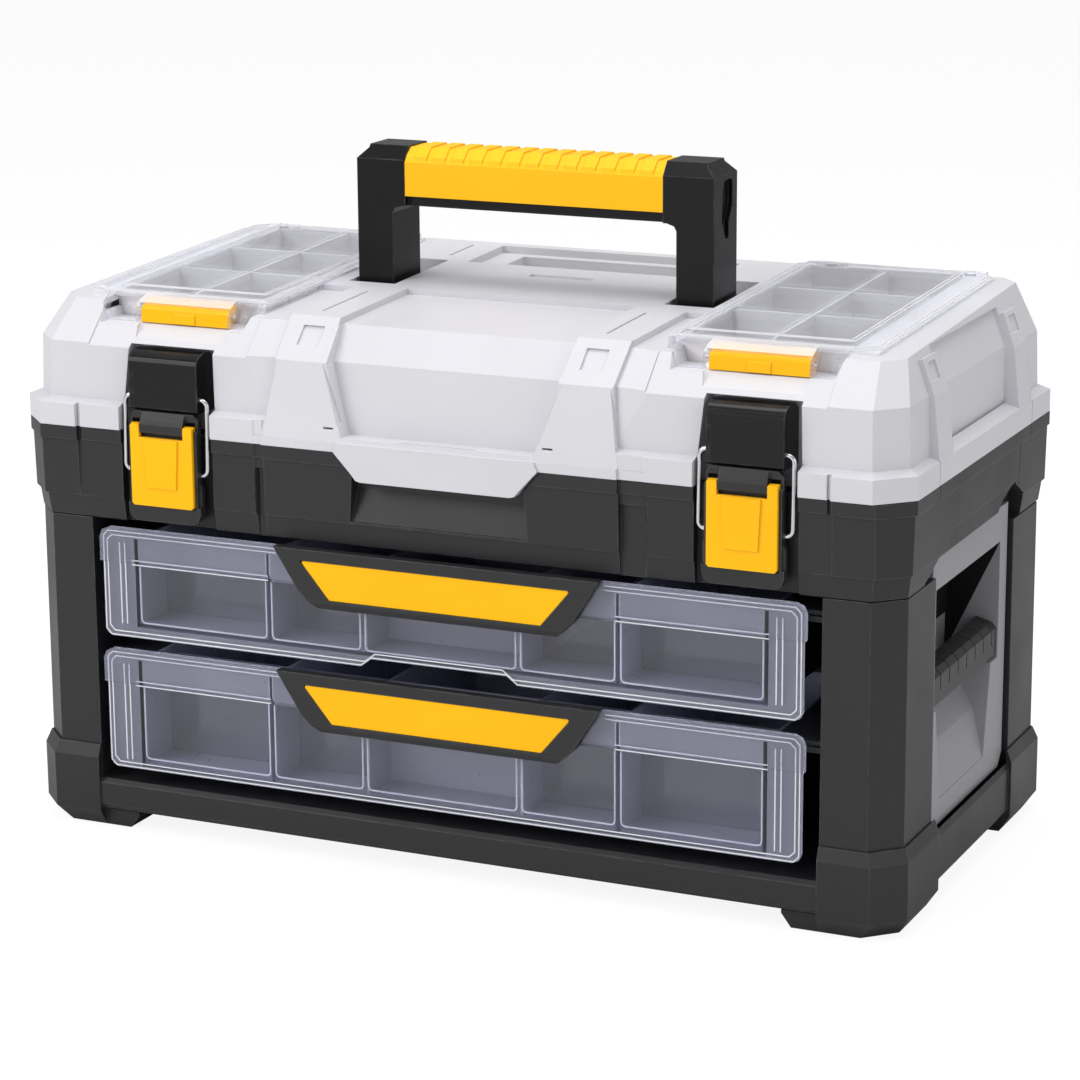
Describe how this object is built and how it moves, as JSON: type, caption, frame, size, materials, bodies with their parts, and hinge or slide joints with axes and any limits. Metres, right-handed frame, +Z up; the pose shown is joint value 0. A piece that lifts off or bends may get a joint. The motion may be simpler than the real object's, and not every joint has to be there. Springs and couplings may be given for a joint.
{
  "type": "portable tool box",
  "caption": "Portable tool box with clear drawers under a lidded box, organiser trays in the lid, latches and a folding carrying handle.",
  "frame": {"origin": "middle of the footprint, on the floor", "axes": "+X to the right seen from the front, front towards -Y, +Z up"},
  "size_m": [0.56, 0.294, 0.4063],
  "materials": {
    "charcoal": "fine moulded grain",
    "light_grey": "satin moulded",
    "mid_grey": "fine moulded grain",
    "black": "satin moulded",
    "yellow": "smooth moulded",
    "clear": "frosted clear plastic",
    "steel": "plated wire"
  },
  "bodies": {
    "chest": {"base_frame": "charcoal", "drawer_housing": "charcoal", "upper_box": "charcoal", "side_panel_left": "mid_grey", "side_panel_right": "mid_grey", "side_grip_left": "charcoal", "side_grip_right": "charcoal"},
    "lid": {"lid_shell": "light_grey", "lid_hinge_pins": "steel", "handle_pins": "steel", "latch_hood_left": "black", "latch_hood_right": "black", "organiser_tray_left": "clear", "organiser_tray_right": "clear", "organiser_hinge_pins_left": "steel", "organiser_hinge_pins_right": "steel"},
    "handle": {"handle_frame": "black", "handle_grip": "yellow"},
    "latch_left": {"latch_bail_left": "steel", "latch_plate_left": "charcoal", "latch_tab_pin_left": "steel"},
    "tab_left": {"latch_tab_left": "yellow"},
    "cover_left": {"organiser_cover_left": "clear", "organiser_latch_pin_left": "steel"},
    "snap_left": {"organiser_latch_left": "yellow"},
    "latch_right": {"latch_bail_right": "steel", "latch_plate_right": "charcoal", "latch_tab_pin_right": "steel"},
    "tab_right": {"latch_tab_right": "yellow"},
    "cover_right": {"organiser_cover_right": "clear", "organiser_latch_pin_right": "steel"},
    "snap_right": {"organiser_latch_right": "yellow"},
    "drawer_upper": {"drawer_tray_upper": "clear", "drawer_dividers_upper": "clear", "drawer_pull_upper": "charcoal", "drawer_insert_upper": "yellow"},
    "drawer_lower": {"drawer_tray_lower": "clear", "drawer_dividers_lower": "clear", "drawer_pull_lower": "charcoal", "drawer_insert_lower": "yellow"}
  },
  "joints": [
    {"name": "lid_hinge", "type": "hinge", "parent": "chest", "child": "lid", "pos_m": [0, 0.1434, 0.2495], "axis": [-1, 0, 0], "range_deg": [0, 95]},
    {"name": "handle_fold", "type": "hinge", "parent": "lid", "child": "handle", "pos_m": [0, 0.0095, 0.3111], "axis": [-1, 0, 0], "range_deg": [0, 40]},
    {"name": "latch_left_swing", "type": "hinge", "parent": "lid", "child": "latch_left", "pos_m": [-0.1767, -0.138, 0.2714], "axis": [-1, 0, 0], "range_deg": [0, 95]},
    {"name": "tab_left_lift", "type": "hinge", "parent": "latch_left", "child": "tab_left", "pos_m": [-0.1767, -0.1422, 0.2539], "axis": [-1, 0, 0], "range_deg": [0, 80]},
    {"name": "cover_left_hinge", "type": "hinge", "parent": "lid", "child": "cover_left", "pos_m": [-0.1825, 0.11247, 0.33083], "axis": [-1, 0, 0], "range_deg": [0, 110]},
    {"name": "snap_left_lift", "type": "hinge", "parent": "cover_left", "child": "snap_left", "pos_m": [-0.1765, -0.11056, 0.31624], "axis": [-1, 0, 0], "range_deg": [0, 30]},
    {"name": "latch_right_swing", "type": "hinge", "parent": "lid", "child": "latch_right", "pos_m": [0.1869, -0.138, 0.2714], "axis": [-1, 0, 0], "range_deg": [0, 95]},
    {"name": "tab_right_lift", "type": "hinge", "parent": "latch_right", "child": "tab_right", "pos_m": [0.1869, -0.1422, 0.2539], "axis": [-1, 0, 0], "range_deg": [0, 80]},
    {"name": "cover_right_hinge", "type": "hinge", "parent": "lid", "child": "cover_right", "pos_m": [0.1825, 0.11247, 0.33083], "axis": [-1, 0, 0], "range_deg": [0, 110]},
    {"name": "snap_right_lift", "type": "hinge", "parent": "cover_right", "child": "snap_right", "pos_m": [0.1843, -0.11056, 0.31624], "axis": [-1, 0, 0], "range_deg": [0, 30]},
    {"name": "drawer_upper_slide", "type": "slide", "parent": "chest", "child": "drawer_upper", "axis": [0, -1, 0], "range_m": [0, 0.185]},
    {"name": "drawer_lower_slide", "type": "slide", "parent": "chest", "child": "drawer_lower", "axis": [0, -1, 0], "range_m": [0, 0.185]}
  ]
}
